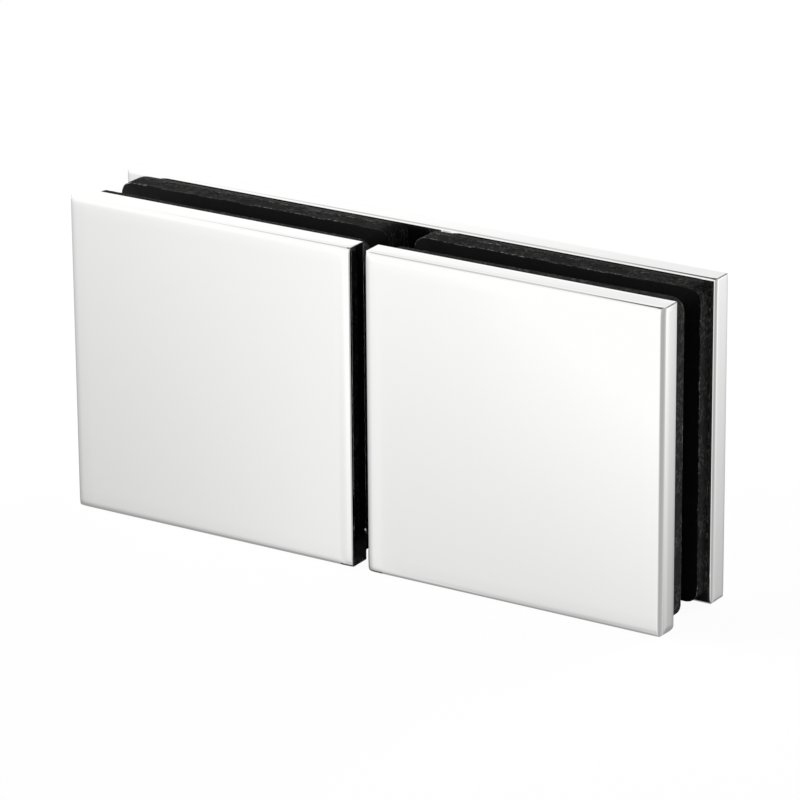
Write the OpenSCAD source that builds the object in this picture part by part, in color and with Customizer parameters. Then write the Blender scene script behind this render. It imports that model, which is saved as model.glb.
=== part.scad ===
// Glass-to-glass clamp that joins two glass panels edge to edge in one plane.
// A long back plate and two square front plates grip the panels between rubber gaskets.
// Each front plate has a tapped boss that goes through a hole in its panel, inside a nylon
// sleeve, and a countersunk socket screw from the back plate draws it up.
//
// Frame: the origin is at the bottom, half-way between the two panels and half-way through
// the glass. X runs along the panels, Y from the front plates to the back plate, Z up.

/* [Plates] */
// Side of each square front plate, and height of the back plate
plate_side = 55; // [45:1:80]
// Thickness of the front plates
front_plate_t = 4.5; // [3.5:0.5:8]
// Thickness of the back plate
back_plate_t = 4.5; // [4:0.5:8]
// Slit between the two front plates
plate_slit = 2.6; // [2:0.1:8]
// Rounding of the polished edges
edge_r = 0.5; // [0.3:0.1:1]

/* [Gaskets] */
// Space between the gaskets when the clamp is closed on its stops
glass_space = 6; // [5:0.5:12]
// Thickness of each gasket
gasket_t = 3; // [1.5:0.5:4]
// Margin from the edge of a front plate to its gasket
front_gasket_inset = 0.6; // [0.1:0.1:2]
// Margin from the edge of a panel's half of the back plate to its gasket
back_gasket_inset = 1.1; // [0.1:0.1:2]
// Corner radius of the gaskets
gasket_corner_r = 2.2; // [1:0.2:8]
// Room between a gasket's hole and the sleeve
gasket_hole_clearance = 0.3; // [0.1:0.1:1]

/* [Boss and sleeve] */
// Metal around the thread in each boss
boss_wall = 2.5; // [2:0.25:4]
// Fillet where the boss grows out of its plate
boss_fillet_r = 0.8; // [0.4:0.1:1]
// Chamfer on the boss's free end
boss_chamfer = 0.6; // [0.3:0.1:1]
// Gap between the boss's end and the back plate when closed
stop_gap = 0.1; // [0.05:0.05:0.3]
// Wall of the nylon sleeve
sleeve_wall = 1.9; // [1.2:0.1:2.5]
// Room between the boss and the sleeve
sleeve_clearance = 0.1; // [0.05:0.05:0.3]
// Gap between the sleeve's ends and the plates
sleeve_end_gap = 0.3; // [0.2:0.1:1]
// Chamfer on the sleeve's outer ends
sleeve_chamfer = 0.4; // [0.2:0.1:0.8]

/* [Screws] */
// Outside diameter of the metric thread
thread_d = 6; // [5:0.5:6]
// Diameter of the countersunk head
head_d = 12; // [10.5:0.5:12]
// Straight rim around the top of the head
head_rim = 0.3; // [0.1:0.1:0.4]
// Depth of the head below the back face
head_sink = 0.1; // [0.05:0.05:0.3]
// Width across the flats of the hexagon socket
socket_flats = 4; // [3:0.5:4]
// Depth of the hexagon socket
socket_depth = 2.3; // [1.5:0.1:2.6]
// Room around the thread in the boss
thread_clearance = 0.05; // [0.03:0.01:0.08]
// Room around the screw in the back plate
screw_clearance = 0.2; // [0.1:0.05:0.3]
// Metal left between the drilled hole and the front face
front_web = 1.5; // [1:0.1:2]
// Room between the screw's tip and the full depth of its hole
tip_room = 1.6; // [0.5:0.1:2]
// Chamfer on the screw's tip
tip_chamfer = 0.8; // [0.4:0.1:1.2]
// Countersink at the mouth of the tapped hole
mouth_chamfer = 0.5; // [0.3:0.1:0.8]

/* [Hidden] */
$fn = 72;

left = -1;
right = 1;
chrome = [0.86, 0.87, 0.88];
rubber = [0.09, 0.09, 0.09];
nylon = [0.88, 0.87, 0.82];
steel = [0.72, 0.73, 0.75];

// Depths along Y, from the glass's middle plane
gasket_face_y = glass_space / 2;
plate_face_y = gasket_face_y + gasket_t;
front_y = plate_face_y + front_plate_t;
back_y = plate_face_y + back_plate_t;

// Places and overall length along X
panel_x = (plate_side + plate_slit) / 2;
back_plate_w = 2 * plate_side + plate_slit;

// Boss, sleeve and gasket holes, from the thread outwards
thread_r = thread_d / 2;
shank_r = thread_r - thread_clearance;
boss_r = thread_r + boss_wall;
boss_end_y = plate_face_y - stop_gap;
sleeve_in_r = boss_r + sleeve_clearance;
sleeve_out_r = sleeve_in_r + sleeve_wall;
gasket_hole_r = sleeve_out_r + gasket_hole_clearance;

// Screw and its seat: both cones open at 90 degrees
head_r = head_d / 2;
head_top_y = back_y - head_sink;
head_cone_y = head_top_y - head_rim;
shank_y = head_cone_y - (head_r - shank_r);
clear_hole_r = shank_r + screw_clearance;
seat_r = head_r + screw_clearance;
seat_cone_y = head_cone_y;
seat_bottom_y = seat_cone_y - (seat_r - clear_hole_r);
drill_angle = 118;
drill_point = thread_r / tan(drill_angle / 2);
hole_bottom_y = front_web + drill_point - front_y;
tip_y = hole_bottom_y + tip_room;
overshoot = 1;

// Point of a panel's clamp: the centre of its plates, on the glass's middle plane
module at_panel(side) {
    translate([side * panel_x, 0, plate_side / 2])
        children();
}

// Turns a shape drawn along Z so that it lies along Y
module along_y() {
    rotate([-90, 0, 0])
        children();
}

// Rectangle about the origin with round corners
module rounded_rect(w, h, r) {
    square([w - 2 * r, h], center = true);
    square([w, h - 2 * r], center = true);
    for (x = [-1, 1])
        for (y = [-1, 1])
            translate([x * (w / 2 - r), y * (h / 2 - r)])
                circle(r);
}

// Block about the origin with all its edges rounded: what three rounded bars share
module eased_block(w, d, h, r) {
    intersection() {
        rotate([90, 0, 90])
            linear_extrude(w, center = true)
                rounded_rect(d, h, r);
        along_y()
            linear_extrude(d, center = true)
                rounded_rect(w, h, r);
        linear_extrude(h, center = true)
            rounded_rect(w, d, r);
    }
}

// Turned boss: it starts inside the plate, flares in a fillet and ends in a chamfer
module boss() {
    base_y = -plate_face_y;
    along_y()
        difference() {
            rotate_extrude()
                polygon([
                    [0, base_y - overshoot],
                    [boss_r + boss_fillet_r, base_y - overshoot],
                    [boss_r + boss_fillet_r, base_y + boss_fillet_r],
                    [boss_r, base_y + boss_fillet_r],
                    [boss_r, boss_end_y - boss_chamfer],
                    [boss_r - boss_chamfer, boss_end_y],
                    [0, boss_end_y]
                ]);
            translate([0, 0, base_y + boss_fillet_r])
                rotate_extrude()
                    translate([boss_r + boss_fillet_r, 0])
                        circle(boss_fillet_r);
        }
}

// Blind tapped hole with a drill point and a countersunk mouth
module tapped_hole() {
    along_y()
        rotate_extrude()
            polygon([
                [0, hole_bottom_y - drill_point],
                [thread_r, hole_bottom_y],
                [thread_r, boss_end_y - mouth_chamfer],
                [thread_r + mouth_chamfer, boss_end_y],
                [thread_r + mouth_chamfer, boss_end_y + overshoot],
                [0, boss_end_y + overshoot]
            ]);
}

// Clear hole through the back plate with a conical seat for the head
module screw_seat() {
    along_y()
        rotate_extrude()
            polygon([
                [0, plate_face_y - overshoot],
                [clear_hole_r, plate_face_y - overshoot],
                [clear_hole_r, seat_bottom_y],
                [seat_r, seat_cone_y],
                [seat_r, back_y + overshoot],
                [0, back_y + overshoot]
            ]);
}

module front_plate(side) {
    color(chrome)
        at_panel(side)
            difference() {
                union() {
                    translate([0, -(plate_face_y + front_plate_t / 2), 0])
                        eased_block(plate_side, front_plate_t, plate_side, edge_r);
                    boss();
                }
                tapped_hole();
            }
}

module back_plate() {
    color(chrome)
        difference() {
            translate([0, plate_face_y + back_plate_t / 2, plate_side / 2])
                eased_block(back_plate_w, back_plate_t, plate_side, edge_r);
            for (side = [left, right])
                at_panel(side)
                    screw_seat();
        }
}

// Flat gasket from one depth towards the back, with a hole for the boss in its sleeve
module gasket(side, start_y, inset) {
    gasket_side = plate_side - 2 * inset;
    color(rubber)
        at_panel(side)
            translate([0, start_y, 0])
                along_y()
                    linear_extrude(gasket_t)
                        difference() {
                            rounded_rect(gasket_side, gasket_side, gasket_corner_r);
                            circle(gasket_hole_r);
                        }
}

module front_gasket(side) {
    gasket(side, -plate_face_y, front_gasket_inset);
}

module back_gasket(side) {
    gasket(side, gasket_face_y, back_gasket_inset);
}

// Sleeve that keeps the boss off the edge of the hole in the glass
module sleeve(side) {
    start_y = -plate_face_y + boss_fillet_r + sleeve_end_gap;
    end_y = plate_face_y - sleeve_end_gap;
    color(nylon)
        at_panel(side)
            along_y()
                rotate_extrude()
                    polygon([
                        [sleeve_in_r, start_y],
                        [sleeve_out_r - sleeve_chamfer, start_y],
                        [sleeve_out_r, start_y + sleeve_chamfer],
                        [sleeve_out_r, end_y - sleeve_chamfer],
                        [sleeve_out_r - sleeve_chamfer, end_y],
                        [sleeve_in_r, end_y]
                    ]);
}

// Hexagon socket with the cone that its punch leaves
module hex_socket() {
    socket_r = socket_flats / sqrt(3);
    socket_bottom_y = head_top_y - socket_depth;
    along_y() {
        translate([0, 0, socket_bottom_y])
            cylinder(h = socket_depth + overshoot, r = socket_r, $fn = 6);
        translate([0, 0, socket_bottom_y - socket_flats / 4])
            cylinder(h = socket_flats / 4, r1 = 0, r2 = socket_flats / 2);
    }
}

module screw(side) {
    color(steel)
        at_panel(side)
            difference() {
                along_y()
                    rotate_extrude()
                        polygon([
                            [0, tip_y],
                            [shank_r - tip_chamfer, tip_y],
                            [shank_r, tip_y + tip_chamfer],
                            [shank_r, shank_y],
                            [head_r, head_cone_y],
                            [head_r, head_top_y],
                            [0, head_top_y]
                        ]);
                hex_socket();
            }
}

back_plate();
front_plate(left);  // left_front_plate
front_plate(right);  // right_front_plate
front_gasket(left);  // left_front_gasket
front_gasket(right);  // right_front_gasket
back_gasket(left);  // left_back_gasket
back_gasket(right);  // right_back_gasket
sleeve(left);  // left_sleeve
sleeve(right);  // right_sleeve
screw(left);  // left_screw
screw(right);  // right_screw
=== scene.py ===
# %% [markdown]
# # A polished glass clamp
# The clamp joins two glass panels edge to edge. One long back plate and two square front plates
# grip the glass between black rubber gaskets, and two countersunk screws pull them together. The
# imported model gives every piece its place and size. This lesson models the pieces again with soft
# polished edges, rough rubber and real threads, and then dresses and lights them.

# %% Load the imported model
import math
from itertools import accumulate

import bpy
from mathutils import Matrix, Vector


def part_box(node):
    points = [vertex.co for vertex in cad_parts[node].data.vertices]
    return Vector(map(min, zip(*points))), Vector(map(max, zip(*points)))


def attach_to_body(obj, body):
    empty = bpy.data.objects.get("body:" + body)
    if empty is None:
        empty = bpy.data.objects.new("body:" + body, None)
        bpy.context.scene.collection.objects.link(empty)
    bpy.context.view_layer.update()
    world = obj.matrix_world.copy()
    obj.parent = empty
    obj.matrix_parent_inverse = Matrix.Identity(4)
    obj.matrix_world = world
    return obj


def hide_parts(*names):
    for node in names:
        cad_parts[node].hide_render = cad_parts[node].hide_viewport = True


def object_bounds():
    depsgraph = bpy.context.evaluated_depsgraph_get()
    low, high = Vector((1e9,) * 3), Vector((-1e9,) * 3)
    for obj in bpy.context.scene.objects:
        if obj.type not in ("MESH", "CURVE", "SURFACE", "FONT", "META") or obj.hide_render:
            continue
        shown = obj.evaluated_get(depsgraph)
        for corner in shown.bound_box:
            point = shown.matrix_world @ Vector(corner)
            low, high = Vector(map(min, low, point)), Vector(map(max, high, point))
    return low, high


MM = 0.001
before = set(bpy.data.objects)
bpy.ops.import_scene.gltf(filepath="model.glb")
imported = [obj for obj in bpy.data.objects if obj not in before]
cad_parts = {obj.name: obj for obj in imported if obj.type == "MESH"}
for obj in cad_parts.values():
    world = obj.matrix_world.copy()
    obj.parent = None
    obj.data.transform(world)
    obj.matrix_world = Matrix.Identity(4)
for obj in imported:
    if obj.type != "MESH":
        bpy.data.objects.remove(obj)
cad_low, cad_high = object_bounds()
print("packed nodes:", len(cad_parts))
print("packed model, mm:", [round(side / MM, 2) for side in cad_high - cad_low])

# %% [markdown]
# ## The camera
# Every piece is judged through it, so it comes first. The photograph was taken from the right and a
# little above, through a long lens, so its parallel edges hardly converge. The camera could be
# placed by hand. It is written as angles, a distance and a roll instead, because those can be
# fitted to the photograph one at a time.

# %% Camera
VIEW_AZIMUTH = math.radians(32.497)
VIEW_ELEVATION = math.radians(19.905)
VIEW_ROLL = math.radians(-0.450)
VIEW_DISTANCE = 0.8404
VIEW_TARGET = Vector((-0.00083, 0.00353, 0.02503))
IMAGE_SIDE = 800
FOCAL_PIXELS = 5150.8
SENSOR_WIDTH = 36
NEAREST_SEEN = 0.01


def camera_place():
    level = math.cos(VIEW_ELEVATION)
    back = Vector((
        math.sin(VIEW_AZIMUTH) * level,
        -math.cos(VIEW_AZIMUTH) * level,
        math.sin(VIEW_ELEVATION),
    ))
    right = Vector((math.cos(VIEW_AZIMUTH), math.sin(VIEW_AZIMUTH), 0))
    up = back.cross(right)
    rolled_right = right * math.cos(VIEW_ROLL) + up * math.sin(VIEW_ROLL)
    rolled_up = up * math.cos(VIEW_ROLL) - right * math.sin(VIEW_ROLL)
    place = Matrix((rolled_right, rolled_up, back)).transposed().to_4x4()
    place.translation = VIEW_TARGET + back * VIEW_DISTANCE
    return place


def add_camera():
    bpy.ops.object.camera_add()
    camera = bpy.context.object
    camera.matrix_world = camera_place()
    camera.data.sensor_width = SENSOR_WIDTH
    camera.data.lens = FOCAL_PIXELS / IMAGE_SIDE * SENSOR_WIDTH
    camera.data.clip_start = NEAREST_SEEN
    return camera


bpy.context.scene.camera = add_camera()
print("lens, mm:", round(bpy.context.scene.camera.data.lens, 1))

# %% [markdown]
# ## Working by hand, in code
# Operators act on whatever is selected, so each step clears the selection and then picks faces or
# edges by a test, which can be repeated, as picking with the mouse can't.

# %% Helpers for selecting
def clear_selection():
    if bpy.context.object and bpy.context.object.mode != "OBJECT":
        bpy.ops.object.mode_set(mode="OBJECT")
    bpy.ops.object.select_all(action="DESELECT")


def activate(piece):
    """Makes a piece the active object and the only selected one."""
    clear_selection()
    bpy.context.view_layer.objects.active = piece
    piece.select_set(True)


def edit(piece, kind="FACE"):
    activate(piece)
    bpy.ops.object.mode_set(mode="EDIT")
    bpy.ops.mesh.select_mode(type=kind)


def edit_all(piece, kind="FACE"):
    edit(piece, kind)
    bpy.ops.mesh.select_all(action="SELECT")


def pick(piece, kind, test):
    """Selects the faces or edges of a piece that pass a test, and opens it for editing."""
    edit(piece, kind)
    bpy.ops.mesh.select_all(action="DESELECT")
    bpy.ops.object.mode_set(mode="OBJECT")
    for element in piece.data.polygons if kind == "FACE" else piece.data.edges:
        element.select = test(element)
    bpy.ops.object.mode_set(mode="EDIT")


clear_selection()
print("objects selected:", len(bpy.context.selected_objects))

# %% [markdown]
# A finished piece sits at the origin with its place in its mesh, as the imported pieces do. Boolean
# modifiers join and cut the solids. They can leave points that almost coincide, so those are
# merged, and every piece is one closed skin.

# %% Helpers for settling, joining and closing
FINE_WELD = 0.0005 * MM


def settle(piece, name):
    """Names a new piece and moves its place into its mesh."""
    activate(piece)
    bpy.ops.object.transform_apply(location=True, rotation=True, scale=True)
    piece.name = name
    piece.data.name = name
    return piece


def modify(piece, kind, **settings):
    """Gives a piece a modifier and applies it."""
    modifier = piece.modifiers.new(kind.lower(), kind)
    for label, value in settings.items():
        setattr(modifier, label, value)
    activate(piece)
    bpy.ops.object.modifier_apply(modifier=modifier.name)


def combine(piece, tool, operation):
    """Joins, cuts or trims a piece with another solid, which is used up."""
    modify(piece, "BOOLEAN", operation=operation, solver="EXACT", object=tool)
    bpy.data.objects.remove(tool)


def close_up(piece, weld=FINE_WELD):
    """Merges points closer than the weld, drops what is left loose and turns all faces outwards."""
    edit_all(piece)
    bpy.ops.mesh.remove_doubles(threshold=weld)
    bpy.ops.mesh.dissolve_degenerate(threshold=weld)
    bpy.ops.mesh.delete_loose()
    bpy.ops.mesh.select_all(action="SELECT")
    bpy.ops.mesh.normals_make_consistent(inside=False)
    clear_selection()


def smooth(piece, angle_deg):
    """Smooth shading that leaves the flat faces flat, so that they reflect like plate glass."""
    activate(piece)
    bpy.ops.object.shade_smooth_by_angle(angle=math.radians(angle_deg))
    modify(piece, "WEIGHTED_NORMAL", keep_sharp=True)


print("points merge when closer than, mm:", round(FINE_WELD / MM, 4))

# %% [markdown]
# ## Turned shapes
# Bosses, sleeves, screws and the tools that cut their holes are round about a line along Y.
# Spinning a profile would make them, but it leaves a seam to merge. So a circle is drawn out ring
# by ring, each ring moved along the line and resized.

# %% A lathe
TURNED_SIDES = 96
FACING_Y = (math.pi / 2, 0, 0)


def turned(name, axis, profile, hollow=False):
    """Solid of revolution from (depth, radius) pairs. A hollow one closes back on its first ring."""
    clear_selection()
    y, radius = profile[0]
    bpy.ops.mesh.primitive_circle_add(
        vertices=TURNED_SIDES,
        radius=radius,
        fill_type="NOTHING" if hollow else "NGON",
        location=(axis.x, y, axis.z),
        rotation=FACING_Y,
    )
    piece = settle(bpy.context.object, name)
    edit_all(piece, "EDGE")
    for next_y, next_radius in profile[1:]:
        bpy.ops.mesh.extrude_region_move(TRANSFORM_OT_translate={"value": (0, next_y - y, 0)})
        ratio = next_radius / radius
        bpy.ops.transform.resize(value=(ratio, 1, ratio), center_override=(axis.x, next_y, axis.z))
        y, radius = next_y, next_radius
    if hollow:
        bpy.ops.mesh.select_all(action="DESELECT")
        bpy.ops.mesh.select_non_manifold()
        bpy.ops.mesh.bridge_edge_loops()
    close_up(piece)
    return piece


print("sides of a turned piece:", TURNED_SIDES)

# %% [markdown]
# ## Sizes from the frame
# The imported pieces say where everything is. Only what a box can't tell is written out, such as the
# wall of a sleeve here, or the radius of an edge further on.

# %% Depths, axes and radii
SIDES = ("left", "right")
front_plate_low, front_plate_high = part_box("left_front_plate")
front_gasket_low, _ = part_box("left_front_gasket")
_, back_gasket_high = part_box("left_back_gasket")
back_plate_low, back_plate_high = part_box("back_plate")
sleeve_low, sleeve_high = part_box("left_sleeve")
screw_low, screw_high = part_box("left_screw")

front_face_y = front_plate_low.y
front_plate_back_y = front_gasket_low.y
boss_end_y = front_plate_high.y
back_plate_front_y = back_gasket_high.y
back_face_y = back_plate_high.y

SLEEVE_CLEARANCE = 0.1 * MM
SLEEVE_WALL = 1.9 * MM
GASKET_HOLE_CLEARANCE = 0.3 * MM
sleeve_radius = (sleeve_high.x - sleeve_low.x) / 2
bore_radius = sleeve_radius - SLEEVE_WALL
boss_radius = bore_radius - SLEEVE_CLEARANCE
gasket_hole_radius = sleeve_radius + GASKET_HOLE_CLEARANCE


def panel_axis(side):
    low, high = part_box(f"{side}_front_plate")
    return (low + high) / 2


print("boss radius, mm:", round(boss_radius / MM, 3))

# %% [markdown]
# ## Plates
# Each plate is a block of brass, ground square and then polished one side after another. That rolls
# its edges but leaves them to meet in mitres. Bevelling all edges at once would make a ball of each
# corner. So three bars are made, each bevelled only along its length, and the plate is what they
# share.

# %% Crossed bars
EDGE_STEPS = 14
OVERLAP = 1 * MM
NEEDLE = 0.02 * MM


def runs_through(piece, edge, corner):
    """True for the edge on which both known coordinates of a corner stay the same."""
    ends = [piece.data.vertices[index].co for index in edge.vertices]
    known = [(axis, value) for axis, value in enumerate(corner) if value is not None]
    return all(abs(end[axis] - value) < NEEDLE for end in ends for axis, value in known)


def bar(low, high, rolled_edges):
    """Bar longer than the block, with the edges through the given corners rolled."""
    along = rolled_edges[0][0].index(None)
    low, high = low.copy(), high.copy()
    low[along] -= OVERLAP
    high[along] += OVERLAP
    clear_selection()
    bpy.ops.mesh.primitive_cube_add(size=1, location=(low + high) / 2, scale=high - low)
    piece = settle(bpy.context.object, "bar")
    for corner, roll in rolled_edges:
        pick(piece, "EDGE", lambda edge: runs_through(piece, edge, corner))
        bpy.ops.mesh.bevel(offset=roll, segments=EDGE_STEPS, affect="EDGES")
    clear_selection()
    return piece


print("steps across a rolled edge:", EDGE_STEPS)

# %% [markdown]
# No two edges of a hand-polished plate are alike, so each of the twelve has a radius of its own:
# four level ones, four upright, and four through the thickness, called feet below and shoulders
# above.

# %% Block with rolled edges
SAME_PLANE = math.radians(0.05)


def rolled_block(name, low, high, rolls):
    level = [
        ((None, low.y, high.z), rolls["top"]),
        ((None, low.y, low.z), rolls["bottom"]),
        ((None, high.y, high.z), rolls["back_top"]),
        ((None, high.y, low.z), rolls["heel"]),
    ]
    upright = [
        ((low.x, low.y, None), rolls["left"]),
        ((high.x, low.y, None), rolls["right"]),
        ((low.x, high.y, None), rolls["back_left"]),
        ((high.x, high.y, None), rolls["back_right"]),
    ]
    through = [
        ((low.x, None, high.z), rolls["shoulder_left"]),
        ((high.x, None, high.z), rolls["shoulder_right"]),
        ((low.x, None, low.z), rolls["foot_left"]),
        ((high.x, None, low.z), rolls["foot_right"]),
    ]
    block = bar(low, high, level)
    combine(block, bar(low, high, upright), "INTERSECT")
    combine(block, bar(low, high, through), "INTERSECT")
    settle(block, name)
    edit_all(block)
    bpy.ops.mesh.dissolve_limited(angle_limit=SAME_PLANE)
    clear_selection()
    return block


print("faces count as one plane below, degrees:", round(math.degrees(SAME_PLANE), 3))

# %% [markdown]
# The wheel also rounds the faces. Sculpting could copy that, but it leaves dents, and a mirror
# shows them. So the narrow sides are inset and crowned, and the broad face is cut into a net whose
# points fall back along parabolas, by a few tenths of a millimetre at the rim. Near a corner two
# falls add up, and the shade of one side runs on to the next.

# %% Crowned sides and falling rims
X, Y, Z = range(3)
SQUARE_ON = 0.99
NET_STEPS = tuple(width * MM for width in (0.1, 0.13, 0.16, 0.2, 0.25, 0.5, 0.7, 0.9))
NET_DEPTH = 1.8 * MM
SIDE_RINGS = (0.3 * MM, 0.5 * MM)


def unit(axis, outward=1):
    return Vector([outward * (axis == each) for each in range(3)])


def inset_side(block, normal):
    clear_selection()
    facing = [face for face in block.data.polygons if face.normal.dot(normal) > SQUARE_ON]
    side = max(facing, key=lambda face: face.area).index
    pick(block, "FACE", lambda face: face.index == side)
    for width in SIDE_RINGS:
        bpy.ops.mesh.inset(thickness=width)
    clear_selection()


def cut_net(block, low, high, face_y, rolls):
    """Cuts a broad face and the rolls around it along lines beside its four borders."""
    sides = [(X, low.x, 1), (X, high.x, -1), (Z, low.z, 1), (Z, high.z, -1)]
    for (axis, edge, inward), roll in zip(sides, rolls):
        across = unit(axis)
        for distance in accumulate(NET_STEPS, initial=roll):
            pick(block, "FACE", lambda face: abs(face.center.y - face_y) < NET_DEPTH)
            bpy.ops.mesh.bisect(plane_co=across * (edge + inward * distance), plane_no=across)
    clear_selection()


def ease_side(block, low, high, axis, outward, across, falls):
    """Lets one side fall back along (depth, reach) parabolas towards its edges across some axes."""
    middle = (low[axis] + high[axis]) / 2
    for point in block.data.vertices:
        if (point.co[axis] - middle) * outward > 0:
            fall = 0
            for each in across:
                near = max(0, min(point.co[each] - low[each], high[each] - point.co[each]))
                fall += sum(depth * max(0, 1 - near / reach) ** 2 for depth, reach in falls)
            point.co[axis] -= outward * fall


print("width of the net beside a roll, mm:", round(sum(NET_STEPS) / MM, 2))

# %% [markdown]
# Together they make a polished block. The narrow sides come first, because an inset needs a side in
# one face, and the net cuts the sides into strips.

# %% Polished block
FRONT_EDGES = ("left", "right", "bottom", "top")
REAR_EDGES = ("back_left", "back_right", "heel", "back_top")


def polished_block(name, low, high, rolls_mm, eased_faces, falls, crown):
    """Block between two corners; rolls_mm gives the radius of each edge in millimetres."""
    rolls = {edge: radius * MM for edge, radius in rolls_mm.items()}
    block = rolled_block(name, low, high, rolls)
    half_depth = (high.y - low.y) / 2
    for axis in (X, Z):
        for outward in (-1, 1):
            inset_side(block, unit(axis, outward))
            ease_side(block, low, high, axis, outward, (Y,), [(crown, half_depth)])
    for outward in eased_faces:
        edges = FRONT_EDGES if outward < 0 else REAR_EDGES
        face_y = low.y if outward < 0 else high.y
        cut_net(block, low, high, face_y, [rolls[edge] for edge in edges])
        ease_side(block, low, high, Y, outward, (X, Z), falls)
    return block


print("rolled edges around a broad face:", len(FRONT_EDGES))

# %% [markdown]
# A front plate carries the tapped boss, which goes through the hole in the glass. It grows out of
# the plate in a fillet, and its hole ends in the cone of a drill. Stacked cylinders would have to
# be joined one by one. A single turned profile is closed from the start.

# %% Profiles of the boss and its hole
THREAD_RADIUS = 3 * MM
BOSS_FILLET = 0.8 * MM
BOSS_CHAMFER = 0.6 * MM
HOLE_MOUTH = 0.5 * MM
HOLE_BOTTOM = 3.3 * MM
DRILL_ANGLE = math.radians(118)
DRILL_POINT = THREAD_RADIUS / math.tan(DRILL_ANGLE / 2)
FILLET_STEPS = 12


def boss_profile():
    turns = [math.pi / 2 * step / FILLET_STEPS for step in range(FILLET_STEPS + 1)]
    flare = [
        (
            front_plate_back_y + BOSS_FILLET * (1 - math.cos(turn)),
            boss_radius + BOSS_FILLET * (1 - math.sin(turn)),
        )
        for turn in turns
    ]
    root = (front_plate_back_y - OVERLAP, boss_radius + BOSS_FILLET)
    end = [(boss_end_y - BOSS_CHAMFER, boss_radius), (boss_end_y, boss_radius - BOSS_CHAMFER)]
    return [root, *flare, *end]


def hole_profile():
    bottom = front_face_y + HOLE_BOTTOM
    return [
        (bottom - DRILL_POINT, NEEDLE),
        (bottom, THREAD_RADIUS),
        (boss_end_y - HOLE_MOUTH, THREAD_RADIUS),
        (boss_end_y, THREAD_RADIUS + HOLE_MOUTH),
        (boss_end_y + OVERLAP, THREAD_RADIUS + HOLE_MOUTH),
    ]


print("rings in the boss's profile:", len(boss_profile()))

# %% [markdown]
# The radii of the edges come from the photograph: the left plate is nearly sharp along the slit,
# and the right plate has a round heel. The boss is united with the plate and the hole is cut
# through both, so that the result is one closed solid.

# %% Front plates
FRONT_ROLLS = {
    "left": dict(
        left=0.6, right=0.2, bottom=0.6, top=0.35,
        back_left=0.4, back_right=0.15, heel=0.3, back_top=0.4,
        foot_left=0.8, foot_right=0.3, shoulder_left=0.3, shoulder_right=0.1,
    ),
    "right": dict(
        left=0.6, right=0.85, bottom=0.6, top=0.35,
        back_left=1.0, back_right=0.4, heel=1.7, back_top=0.4,
        foot_left=1.2, foot_right=0.8, shoulder_left=0.3, shoulder_right=0.3,
    ),
}
FRONT_FALLS = ((0.05 * MM, 4.0 * MM), (0.2 * MM, 1.4 * MM))
FRONT_CROWN = 0.13 * MM
FRONT_FACE_ONLY = (-1,)
MITRE_ANGLE = 9
PLATE_WELD = 0.002 * MM


def front_plate(side):
    low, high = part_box(f"{side}_front_plate")
    high.y = front_plate_back_y
    axis = panel_axis(side)
    name = f"{side}_front_plate_polished"
    rolls = FRONT_ROLLS[side]
    plate = polished_block(name, low, high, rolls, FRONT_FACE_ONLY, FRONT_FALLS, FRONT_CROWN)
    combine(plate, turned("boss", axis, boss_profile()), "UNION")
    combine(plate, turned("tapped_hole", axis, hole_profile()), "DIFFERENCE")
    close_up(plate, PLATE_WELD)
    smooth(plate, MITRE_ANGLE)
    return plate


front_plates = {side: front_plate(side) for side in SIDES}
for plate in front_plates.values():
    print(plate.name, "faces:", len(plate.data.polygons))

# %% [markdown]
# It is one long block with two countersunk holes, polished on both broad faces. The holes could be
# drilled and countersunk in two cuts. One turned cutter makes each in a single cut, with a fine
# bevel at the rim that catches a ring of light.

# %% Back plate
SEAT_RADIUS = 6.2 * MM
SEAT_RIM = 0.4 * MM
CLEAR_HOLE_RADIUS = 3.15 * MM
SEAT_EDGE = 0.15 * MM
BACK_ROLLS = dict(
    left=0.5, right=0.5, bottom=0.5, top=0.4,
    back_left=0.9, back_right=0.9, heel=1.3, back_top=0.9,
    foot_left=0.8, foot_right=0.8, shoulder_left=0.3, shoulder_right=0.3,
)
BACK_FALLS = ((0.03 * MM, 4.0 * MM), (0.14 * MM, 0.9 * MM))
BACK_CROWN = 0.02 * MM
BOTH_FACES = (-1, 1)


def seat_profile():
    cone_top = back_face_y - SEAT_RIM
    return [
        (back_plate_front_y - OVERLAP, CLEAR_HOLE_RADIUS),
        (cone_top - (SEAT_RADIUS - CLEAR_HOLE_RADIUS), CLEAR_HOLE_RADIUS),
        (cone_top, SEAT_RADIUS),
        (back_face_y - SEAT_EDGE, SEAT_RADIUS),
        (back_face_y + SEAT_EDGE, SEAT_RADIUS + 2 * SEAT_EDGE),
        (back_face_y + OVERLAP, SEAT_RADIUS + 2 * SEAT_EDGE),
    ]


back_plate = polished_block(
    "back_plate_polished",
    back_plate_low,
    back_plate_high,
    BACK_ROLLS,
    BOTH_FACES,
    BACK_FALLS,
    BACK_CROWN,
)
for side in SIDES:
    combine(back_plate, turned("seat", panel_axis(side), seat_profile()), "DIFFERENCE")
close_up(back_plate, PLATE_WELD)
smooth(back_plate, MITRE_ANGLE)
print(back_plate.name, "faces:", len(back_plate.data.polygons))

# %% [markdown]
# ## Gaskets
# They are die-cut from black rubber sheet, with flat faces, round corners and rough cut edges. A
# Boolean would leave long thin faces around the hole. So the outline is a plane with bevelled
# corners and subdivided sides, bridged to a circle.

# %% Outline of a gasket
GASKET_CORNER = 2.2 * MM
CORNER_STEPS = 12
EDGE_CUTS = 140


def is_straight_side(gasket, edge):
    first, second = (gasket.data.vertices[index].co for index in edge.vertices)
    return (first - second).length > GASKET_CORNER


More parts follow.
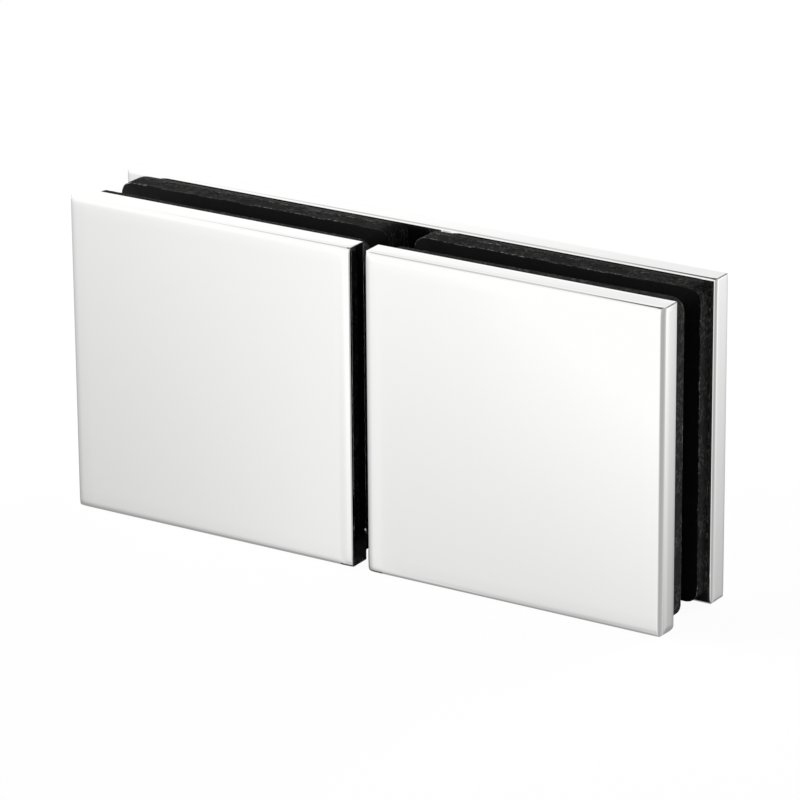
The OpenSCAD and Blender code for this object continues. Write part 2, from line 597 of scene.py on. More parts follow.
def gasket_outline(name, low, high, axis):
    centre = (axis.x, low.y, axis.z)
    clear_selection()
    bpy.ops.mesh.primitive_plane_add(size=high.x - low.x, location=centre, rotation=FACING_Y)
    gasket = settle(bpy.context.object, name)
    edit_all(gasket, "VERT")
    bpy.ops.mesh.bevel(offset=GASKET_CORNER, segments=CORNER_STEPS, affect="VERTICES")
    pick(gasket, "EDGE", lambda edge: is_straight_side(gasket, edge))
    bpy.ops.mesh.subdivide(number_cuts=EDGE_CUTS)
    bpy.ops.mesh.select_all(action="SELECT")
    bpy.ops.mesh.delete(type="ONLY_FACE")
    clear_selection()
    around = len(gasket.data.vertices)
    edit(gasket, "EDGE")
    bpy.ops.mesh.primitive_circle_add(
        vertices=around, radius=gasket_hole_radius, location=centre, rotation=FACING_Y
    )
    bpy.ops.mesh.select_all(action="SELECT")
    bpy.ops.mesh.bridge_edge_loops()
    return gasket


print("points along a straight side:", EDGE_CUTS + 2)

# %% [markdown]
# The die did not cut every gasket alike: the front ones end a little short of their full height.
# The roughness of a cut is a noise displacement that acts only on the points of a vertex group. A
# bump in the material would leave the outline straight.

# %% Trimmed and rough edges
TRIM_BAND = 2 * GASKET_CORNER
TRIMS = {
    "left_front_gasket": (0.3 * MM, 0.3 * MM, 0.0),
    "right_front_gasket": (0.35 * MM, 0.0, 0.45 * MM),
}
NOISE_OCTAVES = 2


def trim(gasket, low, high, top_left, top_right, bottom):
    """Takes a little off the top, more or less at each end, and off the bottom."""
    clear_selection()
    for point in gasket.data.vertices:
        if point.co.z > high.z - TRIM_BAND:
            share = (point.co.x - low.x) / (high.x - low.x)
            point.co.z -= top_left * (1 - share) + top_right * share
        elif point.co.z < low.z + TRIM_BAND:
            point.co.z += bottom


def roughen(gasket, group, depth, grain):
    cloud = bpy.data.textures.new("cut_grain", "CLOUDS")
    cloud.noise_scale = grain
    cloud.noise_depth = NOISE_OCTAVES
    modify(
        gasket, "DISPLACE", texture=cloud, texture_coords="LOCAL",
        vertex_group=group.name, strength=depth,
    )


print("trimmed gaskets:", list(TRIMS))

# %% [markdown]
# The outline is drawn out in thin layers, which give the cut edges points for two displacements: a
# coarse one for the wave and a fine one for the torn grain. A fine bevel along the rims makes the
# lip where the rubber tore.

# %% Die-cut gaskets
GASKET_LAYERS = 9
GASKET_EASE = 0.16 * MM
EASE_STEPS = 2
RIM_ANGLE = math.radians(60)
RUBBER_ANGLE = math.radians(50)
FLAT_FACING = 0.9
CUT_WAVE = (0.22 * MM, 5.0 * MM)
CUT_GRAIN = (0.14 * MM, 0.7 * MM)


def draw_out(gasket, thickness):
    edit_all(gasket)
    layer = {"value": (0, thickness / GASKET_LAYERS, 0)}
    for _ in range(GASKET_LAYERS):
        bpy.ops.mesh.extrude_region_move(TRANSFORM_OT_translate=layer)
    close_up(gasket)
    edit(gasket, "EDGE")
    bpy.ops.mesh.select_all(action="DESELECT")
    bpy.ops.mesh.edges_select_sharp(sharpness=RIM_ANGLE)
    bpy.ops.mesh.bevel(offset=GASKET_EASE, segments=EASE_STEPS, affect="EDGES")
    clear_selection()


def cut_edge_group(gasket, axis):
    """Vertex group of the outer edge, fading out where the rim turns into a flat face."""
    cut = gasket.vertex_groups.new(name="cut_edge")
    hole_edge = gasket_hole_radius + GASKET_EASE + NEEDLE
    for point in gasket.data.vertices:
        from_axis = math.hypot(point.co.x - axis.x, point.co.z - axis.z)
        if abs(point.normal.y) < FLAT_FACING and from_axis > hole_edge:
            cut.add([point.index], 1 - abs(point.normal.y), "REPLACE")
    return cut


def die_cut_gasket(node):
    low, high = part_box(node)
    axis = (low + high) / 2
    gasket = gasket_outline(f"{node}_rubber", low, high, axis)
    if node in TRIMS:
        trim(gasket, low, high, *TRIMS[node])
    draw_out(gasket, high.y - low.y)
    cut = cut_edge_group(gasket, axis)
    for depth, grain in (CUT_WAVE, CUT_GRAIN):
        roughen(gasket, cut, depth, grain)
    activate(gasket)
    bpy.ops.object.shade_smooth_by_angle(angle=RUBBER_ANGLE)
    return gasket


GASKETS = [f"{side}_{place}_gasket" for place in ("front", "back") for side in SIDES]
gaskets = {node: die_cut_gasket(node) for node in GASKETS}
for gasket in gaskets.values():
    print(gasket.name, "faces:", len(gasket.data.polygons))

# %% [markdown]
# ## Sleeves
# A nylon sleeve slips over each boss so that metal never touches the edge of the glass. A tube with
# Solidify would do, but a hollow turned profile also has the small lead-in chamfers at both ends.

# %% Nylon sleeves
SLEEVE_CHAMFER = 0.4 * MM
BORE_CHAMFER = 0.2 * MM
TURNED_ANGLE = 30


def sleeve(side):
    low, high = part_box(f"{side}_sleeve")
    profile = [
        (low.y + BORE_CHAMFER, bore_radius),
        (low.y, bore_radius + BORE_CHAMFER),
        (low.y, sleeve_radius - SLEEVE_CHAMFER),
        (low.y + SLEEVE_CHAMFER, sleeve_radius),
        (high.y - SLEEVE_CHAMFER, sleeve_radius),
        (high.y, sleeve_radius - SLEEVE_CHAMFER),
        (high.y, bore_radius + BORE_CHAMFER),
        (high.y - BORE_CHAMFER, bore_radius),
    ]
    ring = turned(f"{side}_sleeve_nylon", panel_axis(side), profile, hollow=True)
    smooth(ring, TURNED_ANGLE)
    return ring


sleeves = {side: sleeve(side) for side in SIDES}
print("sleeve faces:", len(sleeves["left"].data.polygons))

# %% [markdown]
# ## Screws
# Each is an M6 countersunk screw with a hexagon socket. A bump could fake the thread, but its
# outline would stay smooth. So the Screw modifier sweeps one tooth into a rod, which is cut flat at
# both ends.

# %% Threaded rod
PITCH = 1 * MM
THREAD_CLEARANCE = 0.05 * MM
SHANK_RADIUS = THREAD_RADIUS - THREAD_CLEARANCE
ROOT_RADIUS = SHANK_RADIUS - 0.6 * PITCH
CREST_HALF = PITCH / 16
ROOT_HALF = PITCH / 8
THREAD_STEPS = 48
SPARE_TURNS = 3


def tooth_line():
    """New object with the outline of one tooth, as a line of edges beside the Y axis."""
    tooth = [
        (-PITCH / 2, ROOT_RADIUS),
        (-PITCH / 2 + ROOT_HALF, ROOT_RADIUS),
        (-CREST_HALF, SHANK_RADIUS),
        (CREST_HALF, SHANK_RADIUS),
        (PITCH / 2 - ROOT_HALF, ROOT_RADIUS),
        (PITCH / 2, ROOT_RADIUS),
    ]
    mesh = bpy.data.meshes.new("tooth")
    points = [(radius, y, 0) for y, radius in tooth]
    mesh.from_pydata(points, [(i, i + 1) for i in range(len(points) - 1)], [])
    line = bpy.data.objects.new("thread", mesh)
    bpy.context.scene.collection.objects.link(line)
    return line


def thread_rod(axis, start_y, end_y):
    """Threaded rod, swept longer than needed and cut flat at both ends."""
    rod = tooth_line()
    modify(
        rod, "SCREW", axis="Y", screw_offset=PITCH, use_merge_vertices=True,
        iterations=math.ceil((end_y - start_y) / PITCH) + SPARE_TURNS,
        steps=THREAD_STEPS, render_steps=THREAD_STEPS,
    )
    lowest = min(point.co.y for point in rod.data.vertices)
    rod.location = (axis.x, start_y - SPARE_TURNS / 2 * PITCH - lowest, axis.z)
    settle(rod, "thread")
    for y, outward in ((start_y, -1), (end_y, 1)):
        edit_all(rod)
        bpy.ops.mesh.bisect(
            plane_co=(axis.x, y, axis.z), plane_no=(0, outward, 0), use_fill=True, clear_outer=True
        )
    close_up(rod)
    return rod


print("depth of the thread, mm:", round((SHANK_RADIUS - ROOT_RADIUS) / MM, 2))

# %% [markdown]
# The socket is punched into the head. A prism cuts the hexagon, a turned punch leaves a cone at its
# bottom, and a short cone breaks the edge at its mouth.

# %% Hexagon socket
SOCKET_FLATS = 4 * MM
SOCKET_DEPTH = 2.3 * MM
SOCKET_LEAD = 0.2 * MM


def cut_socket(head, axis, head_y):
    corner = SOCKET_FLATS / math.sqrt(3)
    punch_radius = SOCKET_FLATS / 2 - NEEDLE
    floor_y = head_y - SOCKET_DEPTH
    clear_selection()
    bpy.ops.mesh.primitive_cylinder_add(
        vertices=6,
        radius=corner,
        depth=SOCKET_DEPTH + OVERLAP,
        location=(axis.x, head_y + (OVERLAP - SOCKET_DEPTH) / 2, axis.z),
        rotation=FACING_Y,
    )
    prism = settle(bpy.context.object, "socket")
    punch_profile = [
        (floor_y - SOCKET_FLATS / 4, NEEDLE),
        (floor_y, punch_radius),
        (floor_y + SOCKET_LEAD, punch_radius),
    ]
    lead_profile = [
        (head_y - SOCKET_LEAD, corner - SOCKET_LEAD),
        (head_y + SOCKET_LEAD, corner + SOCKET_LEAD),
    ]
    punch = turned("punch", axis, punch_profile)
    lead = turned("lead", axis, lead_profile)
    for tool in (prism, punch, lead):
        combine(head, tool, "DIFFERENCE")


print("socket across flats, mm:", round(SOCKET_FLATS / MM, 2))

# %% [markdown]
# The rod is trimmed by a turned blank, so that its tip gets a chamfer, and united with a turned
# head. One screw is modelled, and the other is a copy with its own mesh.

# %% Countersunk screws
TIP_CHAMFER = 0.8 * MM
HEAD_RADIUS = 6 * MM
HEAD_RIM = 0.3 * MM
HEAD_EASE = 0.12 * MM
SCREW_WELD = 0.01 * MM


def screw(side):
    axis = panel_axis(side)
    tip_y, head_y = screw_low.y, screw_high.y
    cone_y = head_y - HEAD_RIM
    under_y = cone_y - (HEAD_RADIUS - SHANK_RADIUS)
    blank_profile = [
        (tip_y - OVERLAP, SHANK_RADIUS - TIP_CHAMFER - OVERLAP),
        (tip_y + TIP_CHAMFER + NEEDLE, SHANK_RADIUS + NEEDLE),
        (under_y + 2 * PITCH, SHANK_RADIUS + NEEDLE),
    ]
    head_profile = [
        (under_y, SHANK_RADIUS - NEEDLE),
        (cone_y, HEAD_RADIUS),
        (head_y - HEAD_EASE, HEAD_RADIUS),
        (head_y, HEAD_RADIUS - HEAD_EASE),
    ]
    rod = thread_rod(axis, tip_y, under_y + PITCH)
    combine(rod, turned("blank", axis, blank_profile), "INTERSECT")
    head = turned(f"{side}_screw_steel", axis, head_profile)
    combine(head, rod, "UNION")
    cut_socket(head, axis, head_y)
    close_up(head, SCREW_WELD)
    smooth(head, TURNED_ANGLE)
    return head


def copy_across(piece, name, shift):
    twin = piece.copy()
    twin.data = piece.data.copy()
    bpy.context.scene.collection.objects.link(twin)
    twin.location = shift
    return settle(twin, name)


screws = {"left": screw("left")}
shift_right = panel_axis("right") - panel_axis("left")
screws["right"] = copy_across(screws["left"], "right_screw_steel", shift_right)
print("screw faces:", len(screws["left"].data.polygons))

# %% [markdown]
# ## Shared surface effects
# Effects used by more than one finish are node groups with their own knobs. Painted images would
# do, but nodes stay sharp at any distance. They read the piece's own coordinates, so the pattern
# stays with the piece when it moves. First come helpers that place and link nodes.

# %% Helpers for nodes
def feed(tree, node, inputs):
    """Sets inputs of a node to values, or links them to other nodes' outputs."""
    for label, value in inputs.items():
        if isinstance(value, bpy.types.NodeSocket):
            tree.links.new(value, node.inputs[label])
        else:
            node.inputs[label].default_value = value


def add_node(tree, kind, inputs=None, **settings):
    node = tree.nodes.new(kind)
    for label, value in settings.items():
        setattr(node, label, value)
    feed(tree, node, inputs or {})
    return node


def noise(tree, vector, scale, detail, roughness):
    inputs = {"Vector": vector, "Scale": scale, "Detail": detail, "Roughness": roughness}
    return add_node(tree, "ShaderNodeTexNoise", inputs).outputs["Fac"]


def remap(tree, value, start, end, low, high):
    inputs = {"Value": value, "From Min": start, "From Max": end, "To Min": low, "To Max": high}
    node = add_node(tree, "ShaderNodeMapRange", inputs, interpolation_type="SMOOTHSTEP")
    return node.outputs["Result"]


def math_node(tree, operation, first, second=0):
    inputs = {0: first, 1: second}
    return add_node(tree, "ShaderNodeMath", inputs, operation=operation).outputs["Value"]


def blend(tree, first, share, second):
    """Weighted sum of two values, with the given share of the first."""
    first_part = math_node(tree, "MULTIPLY", first, share)
    second_part = math_node(tree, "MULTIPLY", second, 1 - share)
    return math_node(tree, "ADD", first_part, second_part)


def new_group(name, numbers, outputs):
    """Empty node group with a vector input, number inputs with their defaults, and number outputs."""
    group = bpy.data.node_groups.new(name, "ShaderNodeTree")
    group.interface.new_socket("Vector", in_out="INPUT", socket_type="NodeSocketVector")
    for label, value in numbers.items():
        socket = group.interface.new_socket(label, in_out="INPUT", socket_type="NodeSocketFloat")
        socket.default_value = value
    for label in outputs:
        group.interface.new_socket(label, in_out="OUTPUT", socket_type="NodeSocketFloat")
    given = add_node(group, "NodeGroupInput").outputs
    return group, given, add_node(group, "NodeGroupOutput")


print("node groups so far:", len(bpy.data.node_groups))

# %% [markdown]
# *Fine haze* is the faint unevenness that a polishing mop leaves on metal: slow clouds with a fine
# grain in them. It puts out a roughness between two limits and a height for a bump.

# %% Fine haze
NOISE_BAND = (0.3, 0.7)
CLOUD_SHARE = 0.8


def fine_haze_group():
    numbers = {"Cloud Scale": 60.0, "Grain Scale": 2500.0, "Low": 0.02, "High": 0.06}
    group, given, result = new_group("fine_haze", numbers, ["Roughness", "Height"])
    cloud = noise(group, given["Vector"], given["Cloud Scale"], detail=3.0, roughness=0.5)
    grain = noise(group, given["Vector"], given["Grain Scale"], detail=2.0, roughness=0.6)
    mixed = blend(group, cloud, CLOUD_SHARE, grain)
    rough = remap(group, mixed, *NOISE_BAND, given["Low"], given["High"])
    feed(group, result, {"Roughness": rough, "Height": grain})
    return group


fine_haze = fine_haze_group()
print(fine_haze.name, "nodes:", len(fine_haze.nodes))

# %% [markdown]
# *Speckle* gives rubber and nylon their broken surface. Grains above a cut become flecks, and slow
# patches make them denser in some places than in others.

# %% Speckle
FLECK_SOFTNESS = 0.18
PATCH_BAND = (0.38, 0.62)
PATCH_FLOOR = 0.15
GRAIN_SHARE = 0.6


def speckle_group():
    numbers = {"Grain Scale": 3000.0, "Patch Scale": 400.0, "Cut": 0.55}
    group, given, result = new_group("speckle", numbers, ["Flecks", "Height"])
    grain = noise(group, given["Vector"], given["Grain Scale"], detail=4.0, roughness=0.65)
    patch = noise(group, given["Vector"], given["Patch Scale"], detail=2.0, roughness=0.5)
    top = math_node(group, "ADD", given["Cut"], FLECK_SOFTNESS)
    flecks = remap(group, grain, given["Cut"], top, 0.0, 1.0)
    patches = remap(group, patch, *PATCH_BAND, PATCH_FLOOR, 1.0)
    density = math_node(group, "MULTIPLY", flecks, patches)
    feed(group, result, {"Flecks": density, "Height": blend(group, grain, GRAIN_SHARE, patch)})
    return group


speckle = speckle_group()
print(speckle.name, "nodes:", len(speckle.nodes))

# %% [markdown]
# ## Finishes
# Polished chrome is a mirror, so nearly all its look is the room around it. A perfect mirror looks
# drawn, so the haze keeps it a little uneven.

# %% Polished chrome
CHROME_COLOUR = (0.945, 0.94, 0.936, 1)


def new_material(name):
    material = bpy.data.materials.new(name)
    material.use_nodes = True
    tree = material.node_tree
    shader = tree.nodes["Principled BSDF"]
    coordinates = add_node(tree, "ShaderNodeTexCoord")
    return material, tree, shader, coordinates.outputs["Object"]


def use_group(tree, group, vector, **values):
    inputs = {label.replace("_", " ").title(): value for label, value in values.items()}
    return add_node(tree, "ShaderNodeGroup", {"Vector": vector, **inputs}, node_tree=group)


def bump(tree, shader, height, strength, distance):
    inputs = {"Strength": strength, "Distance": distance, "Height": height}
    node = add_node(tree, "ShaderNodeBump", inputs)
    tree.links.new(node.outputs["Normal"], shader.inputs["Normal"])


def metal(tree, shader, vector, colour, **scales):
    """Makes a shader bare metal whose roughness follows the haze, and returns the haze's outputs."""
    haze = use_group(tree, fine_haze, vector, **scales).outputs
    feed(tree, shader, {"Base Color": colour, "Metallic": 1.0, "Roughness": haze["Roughness"]})
    return haze


def chrome_finish():
    material, tree, shader, vector = new_material("polished_chrome")
    scales = dict(cloud_scale=70.0, grain_scale=1800.0, low=0.015, high=0.05)
    haze = metal(tree, shader, vector, CHROME_COLOUR, **scales)
    bump(tree, shader, haze["Height"], strength=0.02, distance=0.005 * MM)
    return material


chrome = chrome_finish()
print(chrome.name, "nodes:", len(chrome.node_tree.nodes))

# %% [markdown]
# The rubber has three finishes. Its moulded skin is almost black, and darker still as painted shade
# for the faces in the gap. The die's cut is dark with paler flecks, and the lip between them, where
# the rubber tore, has pale flecks as a painted highlight. Natural nylon is milky and waxy. It
# could let light through, but it is hidden in the gap, so two close shades are enough. All four
# share one recipe and differ in colour, gloss, relief and scale.

# %% Black rubber and natural nylon
RUBBER = dict(matt=(0.7, 0.95), gloss=0.03, depth=0.12 * MM, cut=0.44)
RUBBER_LOOKS = {
    # The skin's dark colour is partly painted shade for the faces that sit in the gap between the
    # plates.
    "gasket_skin_black_painted_shade": dict(
        dark=(0.0045, 0.0045, 0.0045), pale=(0.008, 0.008, 0.008),
        relief=0.25, grain_scale=2600.0, patch_scale=500.0,
    ),
    "gasket_cut_edge": dict(
        dark=(0.010, 0.010, 0.0098), pale=(0.052, 0.051, 0.05),
        relief=0.8, grain_scale=1700.0, patch_scale=350.0,
    ),
    # The lip's pale flecks are a painted highlight along the rims of the cut.
    "gasket_lip_painted_highlight": dict(
        dark=(0.02, 0.02, 0.0195), pale=(0.22, 0.215, 0.21),
        relief=0.8, grain_scale=1300.0, patch_scale=160.0,
    ),
}
NYLON_LOOK = dict(
    dark=(0.72, 0.70, 0.63), pale=(0.80, 0.79, 0.74),
    matt=(0.38, 0.52), gloss=0.5, relief=0.15, depth=0.02 * MM,
    grain_scale=1400.0, patch_scale=180.0, cut=0.45,
)


def mix_colour(tree, mask, first, second):
    inputs = {"Factor": mask, "A": (*first, 1), "B": (*second, 1)}
    return add_node(tree, "ShaderNodeMix", inputs, data_type="RGBA").outputs["Result"]


def flecked_finish(name, dark, pale, matt, gloss, relief, depth, **scales):
    material, tree, shader, vector = new_material(name)
    grain = use_group(tree, speckle, vector, **scales).outputs
    colour = mix_colour(tree, grain["Flecks"], dark, pale)
    rough = remap(tree, grain["Height"], *NOISE_BAND, *matt)
    feed(tree, shader, {"Base Color": colour, "Roughness": rough, "Specular IOR Level": gloss})
    bump(tree, shader, grain["Height"], strength=relief, distance=depth)
    return material


rubbers = [flecked_finish(name, **RUBBER, **look) for name, look in RUBBER_LOOKS.items()]
nylon = flecked_finish("sleeve_nylon_natural", **NYLON_LOOK)
print("flecked finishes:", [material.name for material in (*rubbers, nylon)])

# %% [markdown]
# The steel of the screws is a little duller than the plates, with rings left by the lathe. The
# rings have to be centred on each screw, so each has a material of its own with a Mapping node.

# %% Turned steel
STEEL_COLOUR = (0.62, 0.625, 0.64, 1)
RING_SCALE = 1100.0
RING_WANDER = 0.6


def steel_finish(side):
    """Bright steel with the rings of the lathe, centred on one screw's own axis."""
    material, tree, shader, vector = new_material(f"screw_steel_{side}")
    scales = dict(cloud_scale=250.0, grain_scale=4000.0, low=0.14, high=0.3)
    metal(tree, shader, vector, STEEL_COLOUR, **scales)
    inputs = {"Vector": vector, "Location": -panel_axis(side)}
    centred = add_node(tree, "ShaderNodeMapping", inputs, vector_type="POINT").outputs["Vector"]
    inputs = {"Vector": centred, "Scale": RING_SCALE, "Distortion": RING_WANDER}
    rings = add_node(tree, "ShaderNodeTexWave", inputs, wave_type="RINGS", rings_direction="Y")
    bump(tree, shader, rings.outputs["Fac"], strength=0.12, distance=0.01 * MM)
    return material


steel = {side: steel_finish(side) for side in SIDES}
print("steel finishes:", [material.name for material in steel.values()])

# %% [markdown]
# ## Hand each piece to its body
# Every piece rides on the body that carries its packed twin and hides that twin, so that the clamp
# can be opened and closed. On a gasket the finish follows the way a face looks: edges get the cut,
# flat faces the skin with its painted shade, and the bevel between them the painted highlight.

# %% Dress and attach
CUT_FACING = 0.25
SKIN_FACING = 0.92


def attach(piece, node, body, slot, *materials):
    piece.data.materials.clear()
    for material in materials:
        piece.data.materials.append(material)
    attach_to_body(piece, body)
    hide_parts(node)


def mark_cut_edges(gasket):
    """Gives the cut finish to faces that the die cut, and the painted highlight to their torn lips."""
    for face in gasket.data.polygons:
        facing = abs(face.normal.y)
        if facing < CUT_FACING:
            face.material_index = 1
        elif facing < SKIN_FACING:
            # Faces between the cut and the skin get the painted highlight.
            face.material_index = 2


attach(back_plate, "back_plate", "back", "polished_plate", chrome)
for side in SIDES:
    attach(front_plates[side], f"{side}_front_plate", f"{side}_front", "polished_plate", chrome)
    for place, body in (("front", f"{side}_front"), ("back", "back")):
        node = f"{side}_{place}_gasket"
        attach(gaskets[node], node, body, "gasket_rubber", *rubbers)
        mark_cut_edges(gaskets[node])
    attach(sleeves[side], f"{side}_sleeve", f"{side}_front", "sleeve_nylon", nylon)
    attach(screws[side], f"{side}_screw", f"{side}_screw", "screw_steel", steel[side])

# %% [markdown]
# ## Studio
# A mirror shows its room, so the room is the last material. The clamp stands on a white table. The
# camera sees it as white with a trace of the shadow, and the polished metal looks through it at a
# light tent, as small shiny things are photographed. Only under the gap between the plates and
# under the slit does the metal mirror a painted shadow, a dark patch that only reflections see,
# which keeps them dark.

# %% Mask for the painted shadow
SLIT_SHADE = 4 * MM


def object_place(tree):
    """X, Y and Z of the shaded point in the object's own coordinates."""
    position = add_node(tree, "ShaderNodeTexCoord").outputs["Object"]
    return add_node(tree, "ShaderNodeSeparateXYZ", {"Vector": position}).outputs


def outside_gap(tree):
    """Nought under the gap between the plates and under the slit, and one elsewhere."""
    x, y, _ = object_place(tree)
    along = math_node(tree, "ABSOLUTE", x)
    reaches = []
    for half_length, start_y in ((cad_high.x, -back_plate_front_y), (SLIT_SHADE, front_face_y)):
        middle_y = (start_y + back_plate_front_y) / 2
        from_middle = math_node(tree, "SUBTRACT", y, middle_y)
        across = math_node(tree, "ABSOLUTE", from_middle)
        far_along = math_node(tree, "DIVIDE", along, half_length)
        far_across = math_node(tree, "DIVIDE", across, back_plate_front_y - middle_y)
        reaches.append(math_node(tree, "MAXIMUM", far_along, far_across))
    return math_node(tree, "GREATER_THAN", math_node(tree, "MINIMUM", *reaches), 1)


print("dark under the gap, mm:", [round(2 * side / MM, 1) for side in (cad_high.x, back_plate_front_y)])

# %% [markdown]
# The table's material asks what kind of ray has met it. Straight rays see white with a little of
# the lit table, mirrored rays go through it or meet the painted shadow, and all others meet the lit
# table.

# %% Table
FLOOR_SIDE = 6
FLOOR_COLOUR = (0.85, 0.85, 0.85, 1)
FLOOR_WHITE = 0.95
# Colour of the painted shadow that reflections see under the gap and the slit.
PAINTED_SHADOW_COLOUR = (0.08, 0.08, 0.08, 1)


def mix_shaders(tree, share, first, second):
    inputs = {"Fac": share, 1: first.outputs[0], 2: second.outputs[0]}
    return add_node(tree, "ShaderNodeMixShader", inputs)


def bare_material(name):
    """Material with no shader yet, and its node tree."""
    material = bpy.data.materials.new(name)
    material.use_nodes = True
    tree = material.node_tree
    tree.nodes.remove(tree.nodes["Principled BSDF"])
    return material, tree


def table_finish():
    material, tree = bare_material("table_white")
    rays = add_node(tree, "ShaderNodeLightPath").outputs
    straight = math_node(tree, "ADD", rays["Is Camera Ray"], rays["Is Transmission Ray"])
    whiteness = math_node(tree, "MULTIPLY", straight, FLOOR_WHITE)
    lit = add_node(tree, "ShaderNodeBsdfDiffuse", {"Color": FLOOR_COLOUR})
    # A dark patch for mirrored rays: painted shadow under the clamp.
    painted_shadow = add_node(tree, "ShaderNodeBsdfDiffuse", {"Color": PAINTED_SHADOW_COLOUR})
    white = add_node(tree, "ShaderNodeEmission")
    clear = add_node(tree, "ShaderNodeBsdfTransparent")
    seen = mix_shaders(tree, whiteness, lit, white)
    mirrored = mix_shaders(tree, outside_gap(tree), painted_shadow, clear)
    surface = mix_shaders(tree, rays["Is Glossy Ray"], seen, mirrored)
    feed(tree, tree.nodes["Material Output"], {"Surface": surface.outputs[0]})
    return material


def add_floor():
    clear_selection()
    bpy.ops.mesh.primitive_plane_add(size=FLOOR_SIDE, location=(0, 0, cad_low.z))
    floor = settle(bpy.context.object, "floor")
    floor.data.materials.append(table_finish())
    return floor


floor = add_floor()
print("table, m:", [round(side, 2) for side in floor.dimensions])

# %% [markdown]
# The tent is a sphere that only reflections see. It is a ring of tones around the clamp: bright in
# front, dark towards the right, paler behind on the right, and grey at the back and on the left.
# Each stop has an angle in degrees, its tone, how steeply it brightens with height, and its darkest
# tone at the foot. Lamps and cards would do too, but tones can be set one by one. Because the tent
# stands close, a flat face mirrors a slow gradient, and a rolled edge sweeps through the ring in a
# thin line.

# %% Wall of the tent
TENT_RING = [
    (-180, 0.43, 2.8, 0.36),
    (-160, 0.50, 2.8, 0.36),
    (-143, 0.60, 2.8, 0.36),
    (-135, 0.69, 2.4, 0.36),
    (-131.5, 0.745, 2.1, 0.36),
    (-127.5, 0.83, 2.1, 0.36),
    (-124, 0.91, 1.7, 0.38),
    (-122.4, 0.94, 1.8, 0.40),
    (-121.6, 0.90, 2.6, 0.46),
    (-118.8, 0.92, 2.8, 0.52),
    (-115, 0.985, 4.0, 0.60),
    (-111.5, 1.05, 4.6, 0.64),
    (-100, 1.05, 4.6, 0.60),
    (-85, 1.00, 4.6, 0.55),
    (-70, 1.00, 2.0, 0.50),
    (-58, 0.66, 0.0, 0.45),
    (-45, 0.42, 0.5, 0.30),
    (-10, 0.44, 0.0, 0.30),
    (10, 0.62, 0.0, 0.40),
    (27, 0.76, 9.0, 0.40),
    (42, 0.80, 8.0, 0.40),
    (50, 0.77, 5.2, 0.40),
    (57, 0.60, 5.2, 0.35),
    (65, 0.52, 5.2, 0.30),
    (90, 0.48, 3.0, 0.36),
    (180, 0.43, 2.8, 0.36),
]
RING_HEIGHT = -0.11
CLIMB_UNIT = 10
BRIGHTEST = 1.06
FULL_TURN = 360


def tent_wall(tree, x, y, z):
    turn = math_node(tree, "DIVIDE", math_node(tree, "ARCTAN2", y, x), 2 * math.pi)
    ring = add_node(tree, "ShaderNodeValToRGB", {"Fac": math_node(tree, "ADD", turn, 0.5)})
    stops = ring.color_ramp.elements
    while len(stops) < len(TENT_RING):
        stops.new(1)
    for stop, (angle, tone, climb, foot) in zip(stops, TENT_RING):
        stop.position = angle / FULL_TURN + 0.5
        stop.color = (tone, climb / CLIMB_UNIT, foot, 1)
    split = add_node(tree, "ShaderNodeSeparateColor", {"Color": ring.outputs["Color"]})
    height = math_node(tree, "SUBTRACT", z, RING_HEIGHT)
    steepness = math_node(tree, "MULTIPLY", split.outputs["Green"], CLIMB_UNIT)
    rise = math_node(tree, "MULTIPLY", height, steepness)
    wall = math_node(tree, "ADD", split.outputs["Red"], rise)
    wall = math_node(tree, "MAXIMUM", wall, split.outputs["Blue"])
    return math_node(tree, "MINIMUM", wall, BRIGHTEST)


print("stops around the tent:", len(TENT_RING))

# %% [markdown]
# Three things break the even cloth overhead: the roof is open towards the right, a grey band runs
# below it, and a seam darkens the right half. They give the tops of the plates their shades. Each
# is a fade between two places, in metres, with the most that it takes away.

# %% Roof of the tent
ROOF_EDGE = (0.29, 0.35)
OPENING_SOFT = (0.09, 0.16, 0.4)
OPENING_DEEP = (0.235, 0.258, 0.5)
BAND_FOOT = (0.05, 0.15)
BAND_TOP = (0.21, 0.27)
BAND_GREY = (-0.04, 0.06, 0.15)
SEAM_SIDE = (0.0, 0.06)
SEAM_DARK = (0.08, 0.14, 0.7)


def fade(tree, value, start, end, amount=1):
    """Nought up to the start, then a smooth rise to the amount at the end."""
    return remap(tree, value, start, end, 0, amount)


def kept(tree, first, second):
    """What is left of the light when the product of two fades is taken away."""
    return math_node(tree, "SUBTRACT", 1, math_node(tree, "MULTIPLY", first, second))


def tent_roof(tree, x, z):
    slope = math_node(tree, "ADD", z, x)
    soft = fade(tree, slope, *OPENING_SOFT)
    opening = math_node(tree, "ADD", soft, fade(tree, slope, *OPENING_DEEP))
    roof = kept(tree, fade(tree, z, *ROOF_EDGE), opening)
    band = math_node(tree, "MULTIPLY", fade(tree, z, *BAND_FOOT), remap(tree, z, *BAND_TOP, 1, 0))
    upper = kept(tree, band, fade(tree, slope, *BAND_GREY))
    seam = kept(tree, fade(tree, x, *SEAM_SIDE), fade(tree, z, *SEAM_DARK))
    return math_node(tree, "MULTIPLY", roof, math_node(tree, "MULTIPLY", upper, seam))


print("the roof opens from, m:", ROOF_EDGE[0])

# %% [markdown]
# The sphere glows with the product of wall and roof. It lights nothing but reflections, so rubber,
# nylon and table are left to the lamps.

# %% Light tent
TENT_RADIUS = 0.4
TENT_SEGMENTS = 96
TENT_RINGS = 48


def tent_finish():
    material, tree = bare_material("tent_cloth")
    x, y, z = object_place(tree)
    tone = math_node(tree, "MULTIPLY", tent_wall(tree, x, y, z), tent_roof(tree, x, z))
    glow = add_node(tree, "ShaderNodeEmission", {"Strength": tone})
    feed(tree, tree.nodes["Material Output"], {"Surface": glow.outputs[0]})
    return material


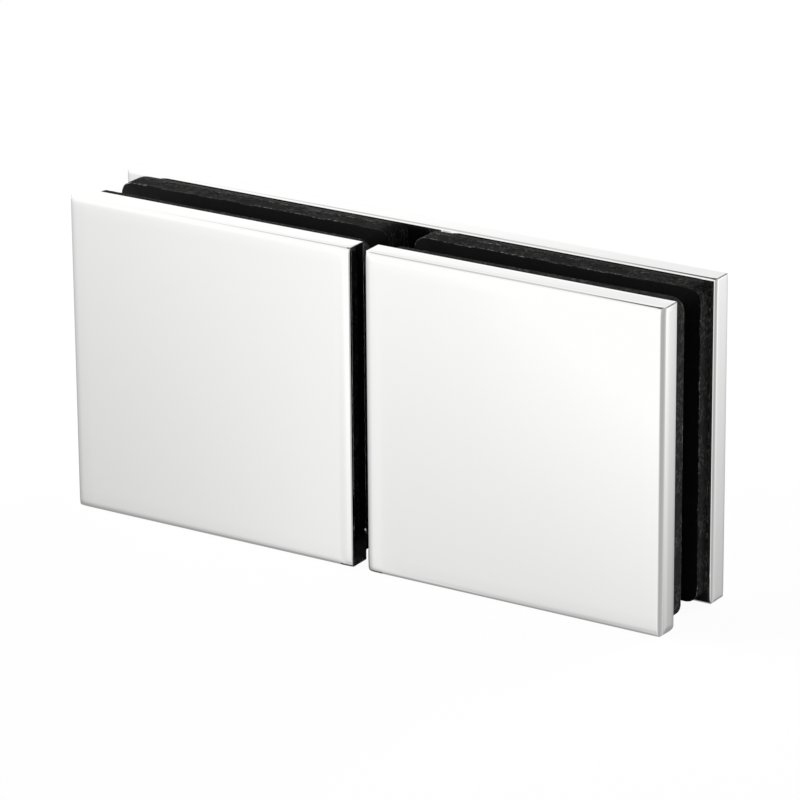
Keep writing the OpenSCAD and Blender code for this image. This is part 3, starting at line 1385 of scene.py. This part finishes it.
def add_tent():
    clear_selection()
    bpy.ops.mesh.primitive_uv_sphere_add(
        segments=TENT_SEGMENTS, ring_count=TENT_RINGS, radius=TENT_RADIUS, location=(0, 0, 0)
    )
    tent = settle(bpy.context.object, "light_tent")
    bpy.ops.object.shade_smooth()
    tent.data.materials.append(tent_finish())
    for ray in ("camera", "diffuse", "transmission", "shadow"):
        setattr(tent, f"visible_{ray}", False)
    return tent


tent = add_tent()
print("tent across, m:", round(tent.dimensions.x, 2))

# %% [markdown]
# An even room and three soft lamps light them: a weak one above, one behind on the right, and the
# strongest on the left in front. They bring out the cut edges of the gaskets, which would be plain
# black in the room's light alone.

# %% Room and lamps
ROOM_LEVEL = 0.15
ROOM_COLOUR = (1, 1, 1, 1)
SOFT_BOXES = [
    ("key_above", (0.05, 0.28, 0.80), 0.6, 1.5),
    ("edge_right", (0.34, 0.73, 0.25), 0.4, 9.0),
    ("fill_left", (-0.70, -0.30, 0.15), 0.4, 16.0),
]


def light_room():
    """World that is dim for the light on surfaces and plain white for everything else."""
    world = bpy.data.worlds.new("studio")
    bpy.context.scene.world = world
    world.use_nodes = True
    tree = world.node_tree
    background = tree.nodes["Background"]
    rays = add_node(tree, "ShaderNodeLightPath")
    even = math_node(tree, "MULTIPLY", rays.outputs["Is Diffuse Ray"], 1 - ROOM_LEVEL)
    level = math_node(tree, "SUBTRACT", 1, even)
    feed(tree, background, {"Strength": level, "Color": ROOM_COLOUR})


def add_soft_box(name, place, side, watts):
    clear_selection()
    bpy.ops.object.light_add(type="AREA", location=place)
    lamp = bpy.context.object
    lamp.name = name
    lamp.data.shape = "SQUARE"
    lamp.data.size = side
    lamp.data.energy = watts
    lamp.rotation_euler = (VIEW_TARGET - Vector(place)).to_track_quat("-Z", "Y").to_euler()
    lamp.visible_camera = False


light_room()
for soft_box in SOFT_BOXES:
    add_soft_box(*soft_box)
bpy.context.scene.view_settings.view_transform = "Standard"
print("lamps:", [name for name, *_ in SOFT_BOXES])
